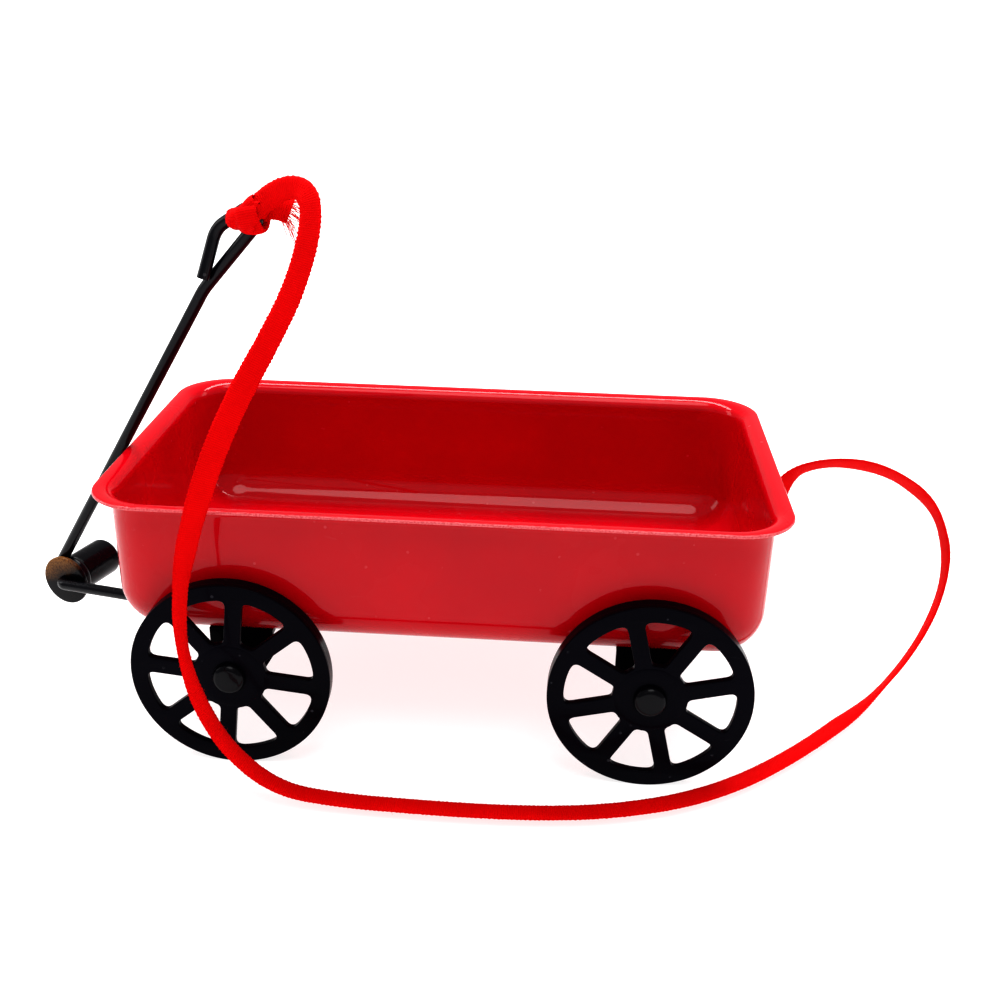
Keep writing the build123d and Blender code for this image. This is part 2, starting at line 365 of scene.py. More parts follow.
# ---------------------------------------------------------------- node trees
Rgb = tuple[float, float, float]
Rgba = tuple[float, float, float, float]
Feed = Union[float, Rgba, bpy.types.NodeSocket]


class Tree:
    """Small helper that adds and links nodes of one tree."""

    def __init__(self, tree: bpy.types.NodeTree) -> None:
        """Work on one tree."""
        self.tree = tree

    def add(self, kind: str, inputs: dict | None = None, **settings) -> bpy.types.Node:
        """Add a node.

        Args:
            kind: the node's type.
            inputs: maps a socket to a value or to a socket to link from.
            **settings: properties of the node.

        Returns:
            The node.
        """
        node = self.tree.nodes.new(kind)
        for key, value in settings.items():
            setattr(node, key, value)
        for key, value in (inputs or {}).items():
            if isinstance(value, bpy.types.NodeSocket):
                self.tree.links.new(value, node.inputs[key])
            else:
                node.inputs[key].default_value = value
        return node

    def math(self, operation: str, a: Feed, b: Feed = 0.0,
             clamp: bool = False) -> bpy.types.NodeSocket:
        """Math node's output."""
        return self.add("ShaderNodeMath", {0: a, 1: b}, operation=operation,
                        use_clamp=clamp).outputs[0]

    def blend(self, factor: Feed, a: Feed, b: Feed) -> bpy.types.NodeSocket:
        """Mix two colours.

        Args:
            factor: how much of the second colour shows.
            a: the first colour.
            b: the second colour.

        Returns:
            The mixed colour's socket.
        """
        node = self.add("ShaderNodeMix", data_type="RGBA", clamp_factor=True)
        for index, value in ((0, factor), (6, a), (7, b)):
            if isinstance(value, bpy.types.NodeSocket):
                self.tree.links.new(value, node.inputs[index])
            else:
                node.inputs[index].default_value = value
        return node.outputs[2]

    def span(self, value: Feed, low: float, high: float, to_low: float = 0.0,
             to_high: float = 1.0) -> bpy.types.NodeSocket:
        """Map Range's output, clamped."""
        return self.add("ShaderNodeMapRange", {0: value, 1: low, 2: high, 3: to_low,
                                               4: to_high}).outputs[0]


def rgba(colour: Rgb) -> Rgba:
    """Colour with full alpha."""
    return (*colour, 1.0)


@dataclass(frozen=True)
class Enamel:
    """Sprayed and baked enamel on pressed steel or wire."""

    name: str
    base: Rgb
    deep: Rgb
    # Pale colour of dust specks and scratches, also used as the colour of the painted highlight.
    scratch_dust_and_highlight: Rgb
    roughness: tuple[float, float]
    coat: float
    peel: float
    dust: float
    shine: float = 0.4

    def build(self) -> bpy.types.Material:
        """Make the node material.

        Returns:
            The material, with orange peel, fine scratches, dust, and a pale painted highlight where
            its highlight attribute is set.
        """
        material = bpy.data.materials.new(self.name)
        material.use_nodes = True
        tree = Tree(material.node_tree)
        shader = material.node_tree.nodes["Principled BSDF"]
        place = tree.add("ShaderNodeTexCoord").outputs["Object"]
        cloud = tree.add("ShaderNodeTexNoise", {"Vector": place, "Scale": 55.0, "Detail": 4.0})
        grain = tree.add("ShaderNodeTexNoise", {"Vector": place, "Scale": 750.0, "Detail": 2.0})
        fine = tree.add("ShaderNodeTexNoise", {"Vector": place, "Scale": 4200.0, "Detail": 2.0})
        stretch = tree.add("ShaderNodeMapping", {"Vector": place, "Rotation": (0.3, 0.5, 0.7),
                                                 "Scale": (160.0, 2600.0, 900.0)})
        hair = tree.add("ShaderNodeTexNoise", {"Vector": stretch.outputs[0], "Scale": 1.0,
                                               "Detail": 3.0, "Distortion": 0.6})
        scratch = tree.span(hair.outputs["Fac"], 0.70, 0.74)
        patch = tree.span(cloud.outputs["Fac"], 0.52, 0.66)
        scratch = tree.math("MULTIPLY", scratch, patch)
        speck = tree.add("ShaderNodeTexVoronoi", {"Vector": place, "Scale": 420.0,
                                                  "Randomness": 1.0})
        dust = tree.math("LESS_THAN", speck.outputs["Distance"], 0.10)
        dust = tree.math("MULTIPLY", dust, tree.span(grain.outputs["Fac"], 0.50, 0.62))
        dust = tree.math("MULTIPLY", dust, self.dust)
        painted_highlight = tree.add("ShaderNodeAttribute", attribute_name="painted_highlight").outputs["Fac"]
        # Painted highlight: the highlight attribute, broken up by fine noise, lays the pale third
        # colour on the enamel.
        scratch_dust_and_highlight = tree.math("MULTIPLY", painted_highlight, tree.span(fine.outputs["Fac"], 0.30, 0.60, 0.15, 0.75))
        colour = tree.blend(tree.span(cloud.outputs["Fac"], 0.30, 0.72), rgba(self.deep),
                            rgba(self.base))
        light = tree.math("MAXIMUM", dust, tree.math("MULTIPLY", scratch, 0.35 * self.dust))
        colour = tree.blend(light, colour, rgba(self.scratch_dust_and_highlight))
        colour = tree.blend(scratch_dust_and_highlight, colour, rgba(self.scratch_dust_and_highlight))
        tree.tree.links.new(colour, shader.inputs["Base Color"])
        rough = tree.span(cloud.outputs["Fac"], 0.3, 0.7, *self.roughness)
        rough = tree.math("ADD", rough, tree.math("MULTIPLY", scratch, 0.25), clamp=True)
        rough = tree.math("ADD", rough, tree.math("MULTIPLY", dust, 0.4), clamp=True)
        tree.tree.links.new(rough, shader.inputs["Roughness"])
        height = tree.math("ADD", tree.math("MULTIPLY", grain.outputs["Fac"], self.peel),
                           tree.math("MULTIPLY", scratch, -0.10))
        height = tree.math("ADD", height, tree.math("MULTIPLY", dust, 0.25))
        bump = tree.add("ShaderNodeBump", {"Height": height, "Strength": 0.35,
                                           "Distance": 0.00012})
        tree.tree.links.new(bump.outputs[0], shader.inputs["Normal"])
        shader.inputs["Coat Weight"].default_value = self.coat
        shader.inputs["Coat Roughness"].default_value = 0.045
        shader.inputs["Specular IOR Level"].default_value = self.shine
        return material


@dataclass(frozen=True)
class Woven:
    """Narrow woven ribbon; its UV runs across in 0..1 and along in millimetres."""

    name: str
    base: Rgb
    deep: Rgb
    weft_mm: float
    warp_count: float

    def build(self) -> bpy.types.Material:
        """Make the node material.

        Returns:
            The material, with weft ribs, warp threads, slubs and sheen.
        """
        material = bpy.data.materials.new(self.name)
        material.use_nodes = True
        tree = Tree(material.node_tree)
        shader = material.node_tree.nodes["Principled BSDF"]
        place = tree.add("ShaderNodeTexCoord")
        axes = tree.add("ShaderNodeSeparateXYZ", {0: place.outputs["UV"]})
        slub = tree.add("ShaderNodeTexNoise", {"Vector": place.outputs["Object"],
                                               "Scale": 1400.0, "Detail": 3.0})
        cloud = tree.add("ShaderNodeTexNoise", {"Vector": place.outputs["Object"],
                                                "Scale": 160.0, "Detail": 2.0})
        wobble = tree.math("MULTIPLY", slub.outputs["Fac"], 1.6)
        along = tree.math("MULTIPLY", axes.outputs[1], math.tau / self.weft_mm)
        weft = tree.math("SINE", tree.math("ADD", along, wobble))
        across = tree.math("MULTIPLY", axes.outputs[0], math.tau * self.warp_count)
        warp = tree.math("SINE", tree.math("ADD", across, wobble))
        over = tree.math("MULTIPLY", weft, warp)
        ribs = tree.math("ADD", tree.math("MULTIPLY", weft, 0.35), tree.math("MULTIPLY", over, 0.4))
        height = tree.math("ADD", ribs, tree.math("MULTIPLY", slub.outputs["Fac"], 0.5))
        # Painted shade: the colour darkens into the weave's low points, mixed with random tone from
        # the cloud noise.
        shade = tree.span(height, -0.6, 0.8)
        shade = tree.math("ADD", tree.math("MULTIPLY", shade, 0.7),
                          tree.math("MULTIPLY", cloud.outputs["Fac"], 0.35), clamp=True)
        colour = tree.blend(shade, rgba(self.deep), rgba(self.base))
        tree.tree.links.new(colour, shader.inputs["Base Color"])
        tree.tree.links.new(tree.span(height, -0.6, 0.8, 0.85, 0.6), shader.inputs["Roughness"])
        bump = tree.add("ShaderNodeBump", {"Height": height, "Strength": 0.5,
                                           "Distance": 0.00007})
        tree.tree.links.new(bump.outputs[0], shader.inputs["Normal"])
        shader.inputs["Specular IOR Level"].default_value = 0.06
        shader.inputs["Sheen Weight"].default_value = 0.10
        shader.inputs["Sheen Roughness"].default_value = 0.45
        shader.inputs["Sheen Tint"].default_value = (1.0, 0.06, 0.05, 1.0)
        return material


@dataclass(frozen=True)
class Turned:
    """Drawn or turned steel with fine rings."""

    name: str
    base: Rgb
    deep: Rgb

    def build(self) -> bpy.types.Material:
        """Make the node material.

        Returns:
            The material, with turning rings and darker spots.
        """
        material = bpy.data.materials.new(self.name)
        material.use_nodes = True
        tree = Tree(material.node_tree)
        shader = material.node_tree.nodes["Principled BSDF"]
        place = tree.add("ShaderNodeTexCoord").outputs["Object"]
        stretch = tree.add("ShaderNodeMapping", {"Vector": place, "Scale": (300.0, 5200.0, 300.0)})
        rings = tree.add("ShaderNodeTexNoise", {"Vector": stretch.outputs[0], "Scale": 1.0,
                                                "Detail": 4.0})
        spots = tree.add("ShaderNodeTexNoise", {"Vector": place, "Scale": 380.0, "Detail": 5.0})
        tree.tree.links.new(tree.blend(tree.span(spots.outputs["Fac"], 0.4, 0.65),
                                       rgba(self.deep), rgba(self.base)),
                            shader.inputs["Base Color"])
        tree.tree.links.new(tree.span(rings.outputs["Fac"], 0.3, 0.7, 0.24, 0.46),
                            shader.inputs["Roughness"])
        bump = tree.add("ShaderNodeBump", {"Height": rings.outputs["Fac"], "Strength": 0.2,
                                           "Distance": 0.00004})
        tree.tree.links.new(bump.outputs[0], shader.inputs["Normal"])
        shader.inputs["Metallic"].default_value = 1.0
        return material


FINISHES = {
    Slot.RED_ENAMEL: Enamel("red_enamel_finish", (0.52, 0.0003, 0.0090), (0.45, 0.0002, 0.0090),
                            (0.85, 0.24, 0.26), (0.20, 0.30), 0.48, 0.22, 0.14, 0.03),
    Slot.BLACK_ENAMEL: Enamel("black_enamel_finish", (0.0026, 0.0019, 0.0056),
                              (0.0016, 0.0012, 0.0034), (0.22, 0.22, 0.25), (0.24, 0.38), 0.03,
                              0.35, 0.12, 0.04),
    Slot.BLACK_GLOSS: Enamel("black_gloss_finish", (0.0030, 0.0026, 0.0045),
                             (0.0020, 0.0017, 0.0030), (0.26, 0.24, 0.24), (0.16, 0.28), 0.14,
                             0.25, 0.12, 0.10),
    Slot.BLACK_WIRE: Enamel("black_wire_finish", (0.0032, 0.0029, 0.0056),
                            (0.0020, 0.0018, 0.0034), (0.28, 0.27, 0.29), (0.20, 0.32), 0.2,
                            0.45, 0.12, 0.14),
    Slot.STEEL: Turned("axle_steel_finish", (0.30, 0.29, 0.28), (0.16, 0.15, 0.145)),
    Slot.RIBBON: Woven("ribbon_weave_finish", (0.80, 0.0012, 0.0030), (0.50, 0.0, 0.0010), 0.30, 10.0),
}


# Black gloss whose amber third colour is painted as a warm highlight on the pivot disc's upper front.
AMBER_HIGHLIGHT = Enamel("amber_highlight_gloss_finish", (0.0040, 0.0034, 0.0050), (0.0026, 0.0022, 0.0034),
                (0.34, 0.15, 0.045), (0.18, 0.30), 0.14, 0.25, 0.12, 0.10)


class Finishes:
    """Materials by slot, made once."""

    def __init__(self) -> None:
        """Start with none made."""
        self._made: dict[Slot, bpy.types.Material] = {}

    def __getitem__(self, slot: Slot) -> bpy.types.Material:
        """Material of a slot, made when it is first asked for.

        Args:
            slot: the slot.

        Returns:
            The material.
        """
        if slot not in self._made:
            self._made[slot] = FINISHES[slot].build()
        return self._made[slot]

    def dress(self, piece: bpy.types.Object, slot: Slot) -> None:
        """Give a piece one finish.

        Args:
            piece: the piece.
            slot: the slot.
        """
        piece.data.materials.clear()
        piece.data.materials.append(self[slot])


# ---------------------------------------------------------------- geometry node tools
def geometry_group(name: str, inputs: Sequence[tuple[str, str, object]]) -> Tree:
    """Geometry node group that takes and gives a geometry.

    Args:
        name: the group's name.
        inputs: (label, socket type, default) of each named input.

    Returns:
        The group's tree.
    """
    group = bpy.data.node_groups.new(name, "GeometryNodeTree")
    group.interface.new_socket("Geometry", in_out="INPUT", socket_type="NodeSocketGeometry")
    group.interface.new_socket("Geometry", in_out="OUTPUT", socket_type="NodeSocketGeometry")
    for label, kind, default in inputs:
        socket = group.interface.new_socket(label, in_out="INPUT", socket_type=kind)
        if default is not None:
            socket.default_value = default
    return Tree(group)


def run_group(source: bpy.types.Object, tree: Tree, values: dict[str, object],
              name: str) -> bpy.types.Object:
    """Apply a geometry node group to an object and keep the result as a plain mesh.

    Args:
        source: the object the group works on; it is removed afterwards.
        tree: the group.
        values: named inputs to set.
        name: the new piece's name.

    Returns:
        The new mesh object.
    """
    modifier = source.modifiers.new("build", "NODES")
    modifier.node_group = tree.tree
    for item in tree.tree.interface.items_tree:
        if getattr(item, "in_out", "") == "INPUT" and item.name in values:
            modifier[item.identifier] = values[item.name]
    graph = bpy.context.evaluated_depsgraph_get()
    mesh = bpy.data.meshes.new_from_object(source.evaluated_get(graph), depsgraph=graph)
    mesh.name = name
    piece = bpy.data.objects.new(name, mesh)
    bpy.context.scene.collection.objects.link(piece)
    bpy.data.objects.remove(source, do_unlink=True)
    return piece


def poly_curve(name: str, paths: Sequence[Sequence[Vector]]) -> bpy.types.Object:
    """Curve object with one straight-stepped spline for each path.

    Args:
        name: the curve's name.
        paths: the paths, in millimetres.

    Returns:
        The linked object.
    """
    curve = bpy.data.curves.new(name, "CURVE")
    curve.dimensions = "3D"
    for path in paths:
        spline = curve.splines.new("POLY")
        spline.points.add(len(path) - 1)
        for point, here in zip(spline.points, path):
            point.co = (*(here * MM), 1.0)
    piece = bpy.data.objects.new(name, curve)
    bpy.context.scene.collection.objects.link(piece)
    return piece


def wire_group() -> Tree:
    """Group that sweeps a round wire along curves, with closed ends.

    Returns:
        The group's tree; its inputs are Radius, Sides and Finish.
    """
    tree = geometry_group("wire_sweep", [("Radius", "NodeSocketFloat", 0.0009),
                                         ("Sides", "NodeSocketInt", 24),
                                         ("Finish", "NodeSocketMaterial", None)])
    source = tree.add("NodeGroupInput")
    ring = tree.add("GeometryNodeCurvePrimitiveCircle", {"Resolution": source.outputs["Sides"],
                                                         "Radius": source.outputs["Radius"]})
    tube = tree.add("GeometryNodeCurveToMesh", {"Curve": source.outputs["Geometry"],
                                                "Profile Curve": ring.outputs[0],
                                                "Fill Caps": True})
    painted = tree.add("GeometryNodeSetMaterial", {"Geometry": tube.outputs[0],
                                                   "Material": source.outputs["Finish"]})
    tree.add("NodeGroupOutput", {"Geometry": painted.outputs[0]})
    return tree


def fuzz_group() -> Tree:
    """Group that scatters short loose fibres over a surface.

    Returns:
        The group's tree; its inputs are Density, Length, Thickness, Seed and Finish.
    """
    tree = geometry_group("fibre_fuzz", [("Density", "NodeSocketFloat", 1.0),
                                         ("Length", "NodeSocketFloat", 0.0005),
                                         ("Thickness", "NodeSocketFloat", 0.00002),
                                         ("Seed", "NodeSocketInt", SEED),
                                         ("Finish", "NodeSocketMaterial", None)])
    source = tree.add("NodeGroupInput")
    dots = tree.add("GeometryNodeDistributePointsOnFaces",
                    {"Mesh": source.outputs["Geometry"], "Density": source.outputs["Density"],
                     "Seed": source.outputs["Seed"]})
    arc = tree.add("GeometryNodeCurvePrimitiveBezierSegment",
                   {"Resolution": 5, "Start": (0, 0, 0), "Start Handle": (0.0, 0.0, 0.4),
                    "End Handle": (0.25, 0.0, 0.75), "End": (0.65, 0.1, 0.9)})
    scaled = tree.add("GeometryNodeTransform", {"Geometry": arc.outputs[0]})
    grow = tree.add("ShaderNodeCombineXYZ", {0: source.outputs["Length"],
                                             1: source.outputs["Length"],
                                             2: source.outputs["Length"]})
    tree.tree.links.new(grow.outputs[0], scaled.inputs["Scale"])
    ring = tree.add("GeometryNodeCurvePrimitiveCircle", {"Resolution": 3,
                                                         "Radius": source.outputs["Thickness"]})
    hair = tree.add("GeometryNodeCurveToMesh", {"Curve": scaled.outputs[0],
                                                "Profile Curve": ring.outputs[0],
                                                "Fill Caps": True})
    spin = tree.add("FunctionNodeRandomValue", {"Seed": source.outputs["Seed"]},
                    data_type="FLOAT_VECTOR")
    spin.inputs[0].default_value = (-0.7, -0.7, -3.1)
    spin.inputs[1].default_value = (0.7, 0.7, 3.1)
    turned = tree.add("FunctionNodeRotateRotation", {"Rotation": dots.outputs["Rotation"]},
                      rotation_space="LOCAL")
    euler = tree.add("FunctionNodeEulerToRotation", {0: spin.outputs[0]})
    tree.tree.links.new(euler.outputs[0], turned.inputs["Rotate By"])
    size = tree.add("FunctionNodeRandomValue", {2: 0.35, 3: 1.0,
                                                "Seed": source.outputs["Seed"]})
    scattered = tree.add("GeometryNodeInstanceOnPoints",
                         {"Points": dots.outputs[0], "Instance": hair.outputs[0],
                          "Rotation": turned.outputs[0], "Scale": size.outputs[1]})
    real = tree.add("GeometryNodeRealizeInstances", {"Geometry": scattered.outputs[0]})
    painted = tree.add("GeometryNodeSetMaterial", {"Geometry": real.outputs[0],
                                                   "Material": source.outputs["Finish"]})
    tree.add("NodeGroupOutput", {"Geometry": painted.outputs[0]})
    return tree


# ---------------------------------------------------------------- pressed tray
@dataclass(frozen=True)
class Pan:
    """One-piece pressed tray with a flared lip."""

    corner_steps: int = 18
    side_steps: tuple[int, int] = (44, 24)
    lip_bend: float = 2.0
    lip_under_out: float = 2.00
    lip_edge_r: tuple[float, float] = (0.28, 0.30)
    # Strength and arc steps of the pale highlight line painted on the lip's outer edge.
    lip_edge_highlight: float = 0.9
    highlight_steps: tuple[int, int] = (3, 6)
    wall_outside: tuple[float, ...] = (28.0, 31.0, 34.0, 36.5)
    wall_inside: tuple[float, ...] = (36.0, 33.5, 30.0, 27.0)

    def outline(self, out: float, z: float) -> list[Vector]:
        """Closed loop round the tray.

        Args:
            out: millimetres out from the wall's outer face.
            z: height in millimetres.

        Returns:
            Points in metres, always the same count and order.
        """
        corner = WALL_CORNER + (out * LIP_CORNER_GROWTH / LIP_OUT if out > 0 else out)
        half_x, half_y = TRAY_HALF[0] + out, TRAY_HALF[1] + out
        corners = ((1, 1), (-1, 1), (-1, -1), (1, -1))
        points: list[Vector] = []
        for index, (sx, sy) in enumerate(corners):
            centre = Vector((sx * (half_x - corner), sy * (half_y - corner)))
            start = index * math.pi / 2
            arc = [centre + corner * Vector((math.cos(start + a), math.sin(start + a)))
                   for a in (math.pi / 2 * step / self.corner_steps
                             for step in range(self.corner_steps + 1))]
            points.extend(arc)
            after = corners[(index + 1) % 4]
            turn = start + math.pi / 2
            goal = Vector((after[0] * (half_x - corner), after[1] * (half_y - corner))) \
                + corner * Vector((math.cos(turn), math.sin(turn)))
            count = self.side_steps[index % 2]
            points.extend(arc[-1].lerp(goal, step / count) for step in range(1, count))
        return [mm(CENTRE_X + p.x, p.y, z) for p in points]

    def section(self) -> list[tuple[float, float, float]]:
        """Section from the underside's middle, over the lip, to the floor's middle.

        Returns:
            (out, height, painted highlight) for each loop.
        """
        loops: list[tuple[float, float, float]] = []
        bend, sheet = FLOOR_BEND, SHEET
        edge_out, edge_up = self.lip_edge_r
        for step in range(15):
            t = math.pi / 2 * step / 14
            loops.append((-bend + bend * math.sin(t), FLOOR_Z + bend * (1 - math.cos(t)), 0.0))
        under = self.lip_bend - sheet
        for z in self.wall_outside:
            loops.append((0.0, z, 0.0))
        for step in range(7):
            t = math.pi / 2 * step / 6
            loops.append((under * (1 - math.cos(t)), LIP_Z - sheet - under + under * math.sin(t), 0.0))
        loops.append((self.lip_under_out, LIP_Z - sheet, 0.0))
        for step in range(9):
            t = math.pi * step / 8
            # Painted highlight: a pale line painted along the lip's rounded outer edge, on the middle
            # steps of its arc.
            painted_highlight = self.lip_edge_highlight if self.highlight_steps[0] <= step <= self.highlight_steps[1] else 0.0
            loops.append((LIP_OUT - edge_out + edge_out * math.sin(t),
                          LIP_Z - edge_up - edge_up * math.cos(t), painted_highlight))
        for step in range(11):
            t = math.pi / 2 * (1 - step / 10)
            loops.append((-sheet + self.lip_bend * (1 - math.cos(t)),
                          LIP_Z - self.lip_bend + self.lip_bend * math.sin(t), 0.0))
        for z in self.wall_inside:
            loops.append((-sheet, z, 0.0))
        inner = bend - sheet
        for step in range(15):
            t = math.pi / 2 * (1 - step / 14)
            loops.append((-bend + inner * math.sin(t), FLOOR_Z + sheet + inner * (1 - math.cos(t)),
                          0.0))
        return loops

    def build(self, finishes: Finishes) -> bpy.types.Object:
        """Make the tray and let it stand for its CAD node.

        Args:
            finishes: the materials.

        Returns:
            The tray.
        """
        loops = self.section()
        verts: list[Vector] = []
        painted_highlight: list[float] = []
        for out, z, highlight_amount in loops:
            ring = self.outline(out, z)
            verts.extend(ring)
            painted_highlight.extend([highlight_amount] * len(ring))
        count = len(verts) // len(loops)
        faces = [list(range(count)), list(range((len(loops) - 1) * count, len(loops) * count))]
        for low in range(len(loops) - 1):
            for step in range(count):
                after = (step + 1) % count
                faces.append([low * count + step, low * count + after,
                              (low + 1) * count + after, (low + 1) * count + step])
        tray = mesh_object("tray_pan", verts, faces, 50.0)
        # This attribute carries the lip edge's painted highlight to the enamel shader.
        attribute = tray.data.attributes.new("painted_highlight", "FLOAT", "POINT")
        attribute.data.foreach_set("value", painted_highlight)
        finishes.dress(tray, Slot.RED_ENAMEL)
        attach(tray, Body.WAGON.value)
        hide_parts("tray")
        LOG.info("tray: %d faces", len(tray.data.polygons))
        return tray


# ---------------------------------------------------------------- wheels
@dataclass(frozen=True)
class Wheel:
    """Pressed spoked wheel with its push-on hub cap."""

    name: str
    x: float
    side: int
    phase: float
    plate_half: float = 0.42
    plate_edge: float = 0.18
    plate_centre: float = 0.6
    hub_corner: float = 0.9
    rim_corner: float = 1.0
    tread_in: float = 13.7
    tread_out: float = 14.68
    disc_rise: float = 0.20
    bore: float = 1.06
    boss_r: float = 2.4
    boss_foot: float = 25.7
    cap_gap: float = 0.3
    cap_r: float = 2.4
    cap_rise: float = 1.26

    def window(self, index: int) -> list[Vector]:
        """Outline of one opening between two spokes, in the wheel's plane.

        Args:
            index: which opening, counted round the wheel.

        Returns:
            The closed outline, in millimetres, with round corners.
        """
        half = math.pi / SPOKES
        middle = math.radians(self.phase) + half + index * 2 * half
        edge = SPOKE_W / 2

        def at(radius: float, side: int) -> float:
            """Angle of a spoke's edge at a radius, from the opening's middle."""
            return half - math.asin(edge / radius) if side > 0 else -(half - math.asin(edge / radius))

        inner, outer = HUB_DISC_R, RIM_IN
        corners = [Vector((inner * math.cos(at(inner, 1)), inner * math.sin(at(inner, 1)))),
                   Vector((outer * math.cos(at(outer, 1)), outer * math.sin(at(outer, 1)))),
                   Vector((outer * math.cos(at(outer, -1)), outer * math.sin(at(outer, -1)))),
                   Vector((inner * math.cos(at(inner, -1)), inner * math.sin(at(inner, -1))))]
        rim = [Vector((outer * math.cos(a), outer * math.sin(a)))
               for a in (at(outer, 1) + (at(outer, -1) - at(outer, 1)) * s / 10 for s in range(2, 9))]
        hub = [Vector((inner * math.cos(a), inner * math.sin(a)))
               for a in (at(inner, -1) + (at(inner, 1) - at(inner, -1)) * s / 6 for s in (3,))]
        loop = [corners[0], corners[1], *rim, corners[2], corners[3], *hub]
        last_rim = 2 + len(rim)
        soft = soften(loop, {0: self.hub_corner, 1: self.rim_corner, last_rim: self.rim_corner,
                             last_rim + 1: self.hub_corner})
        turn = Matrix.Rotation(middle, 2)
        return [turn @ point for point in soft]

    def build(self, finishes: Finishes) -> None:
        """Make the wheel and its cap.

        Args:
            finishes: the materials.
        """
        curve = bpy.data.curves.new(self.name, "CURVE")
        curve.dimensions = "2D"
        curve.fill_mode = "BOTH"
        curve.extrude = self.plate_half * MM
        curve.bevel_depth = self.plate_edge * MM
        curve.offset = -self.plate_edge * MM
        curve.bevel_resolution = 3
        loops = [[Vector((WHEEL_R * math.cos(a), WHEEL_R * math.sin(a)))
                  for a in (math.tau * s / 192 for s in range(192))]]
        loops += [self.window(index) for index in range(SPOKES)]
        loops.append([Vector((1.6 * math.cos(a), 1.6 * math.sin(a)))
                      for a in (math.tau * s / 48 for s in range(48))])
        for loop in loops:
            spline = curve.splines.new("POLY")
            spline.points.add(len(loop) - 1)
            spline.use_cyclic_u = True
            for point, here in zip(spline.points, loop):
                point.co = (here.x * MM, here.y * MM, 0.0, 1.0)
        plate = bpy.data.objects.new(self.name + "_plate", curve)
        bpy.context.scene.collection.objects.link(plate)
        graph = bpy.context.evaluated_depsgraph_get()
        mesh = bpy.data.meshes.new_from_object(plate.evaluated_get(graph), depsgraph=graph)
        bpy.data.objects.remove(plate, do_unlink=True)
        centre = mm(self.x, self.side * (FACE_Y - self.plate_centre), WHEEL_R)
        facing = Matrix(((1, 0, 0, centre.x), (0, 0, -1, centre.y), (0, 1, 0, centre.z),
                         (0, 0, 0, 1)))
        mesh.transform(facing)
        flat = bpy.data.objects.new(self.name + "_flat", mesh)
        bpy.context.scene.collection.objects.link(flat)
        weld(mesh, 2e-7)
        tidy_normals(mesh, 35.0)
        axis = Vector((0, self.side, 0))
        origin = Vector((self.x, 0, WHEEL_R))
        face = FACE_Y
        tread = rounded([(self.tread_in, face - 1.0), (self.tread_in, face - TREAD_W),
                         (self.tread_out, face - TREAD_W), (self.tread_out, face - 0.5)],
                        [0.15, 0.3], 5)
        tread = [*tread, (self.tread_in, face - 0.5), tread[0]]
        rim = lathe(self.name + "_rim", tread, origin, axis, 192)
        disc = lathe(self.name + "_disc",
                     [(self.bore, face + self.disc_rise), (3.4, face + self.disc_rise),
                      (4.3, face + 0.17), (4.8, face + 0.09), (5.05, face + 0.01),
                      (5.1, face - 0.05), (self.bore, face - 0.05),
                      (self.bore, face + self.disc_rise)], origin, axis, 96, 30.0)
        inside = face - self.plate_centre
        boss = lathe(self.name + "_boss",
                     [(self.bore, inside), (self.boss_r, inside),
                      (self.boss_r, self.boss_foot + 0.25), (self.boss_r - 0.2, self.boss_foot),
                      (self.bore, self.boss_foot), (self.bore, inside)], origin, axis, 64)
        wheel = join(self.name + "_pressed", [flat, rim, disc, boss])
        finishes.dress(wheel, Slot.BLACK_ENAMEL)
        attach(wheel, self.name + "_wheel")
        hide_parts(self.name + "_wheel")
        foot = face + self.cap_gap
        rise = foot + self.cap_rise
        dome = rounded([(0.0, rise - 0.06), (self.cap_r, rise - 0.11), (self.cap_r, foot)], [0.95], 10)
        dome = [(0.0, rise), (0.5, rise - 0.01), (0.95, rise - 0.05), *dome[1:],
                (self.cap_r - 0.2, foot), (1.02, foot), (1.02, foot + 0.7), (0.0, foot + 0.7)]
        cap = lathe(self.name + "_dome", dome, origin, axis, 72)
        finishes.dress(cap, Slot.BLACK_GLOSS)
        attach(cap, Body.WAGON.value)
        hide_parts(self.name + "_cap")
        LOG.info("%s wheel: %d faces", self.name, len(wheel.data.polygons))


def soften(loop: Sequence[Vector], radii: dict[int, float], steps: int = 5) -> list[Vector]:
    """Round chosen corners of a closed flat loop.

    Args:
        loop: the outline's points.
        radii: a radius for each corner to round, by its place in the loop.
        steps: arc steps for each corner.

    Returns:
        The outline with those corners round.
    """
    result: list[Vector] = []
    size = len(loop)
    for index, here in enumerate(loop):
        radius = radii.get(index)
        if radius is None:
            result.append(here)
            continue
        u = (loop[index - 1] - here).normalized()
        v = (loop[(index + 1) % size] - here).normalized()
        half = u.angle(v) / 2
        reach = min(radius / math.tan(half), 0.9 * (loop[index - 1] - here).length,
                    0.9 * (loop[(index + 1) % size] - here).length)
        a, b = here + u * reach, here + v * reach
        for step in range(steps + 1):
            t = step / steps
            result.append(a * (1 - t) ** 2 + here * 2 * t * (1 - t) + b * t ** 2)
    return result


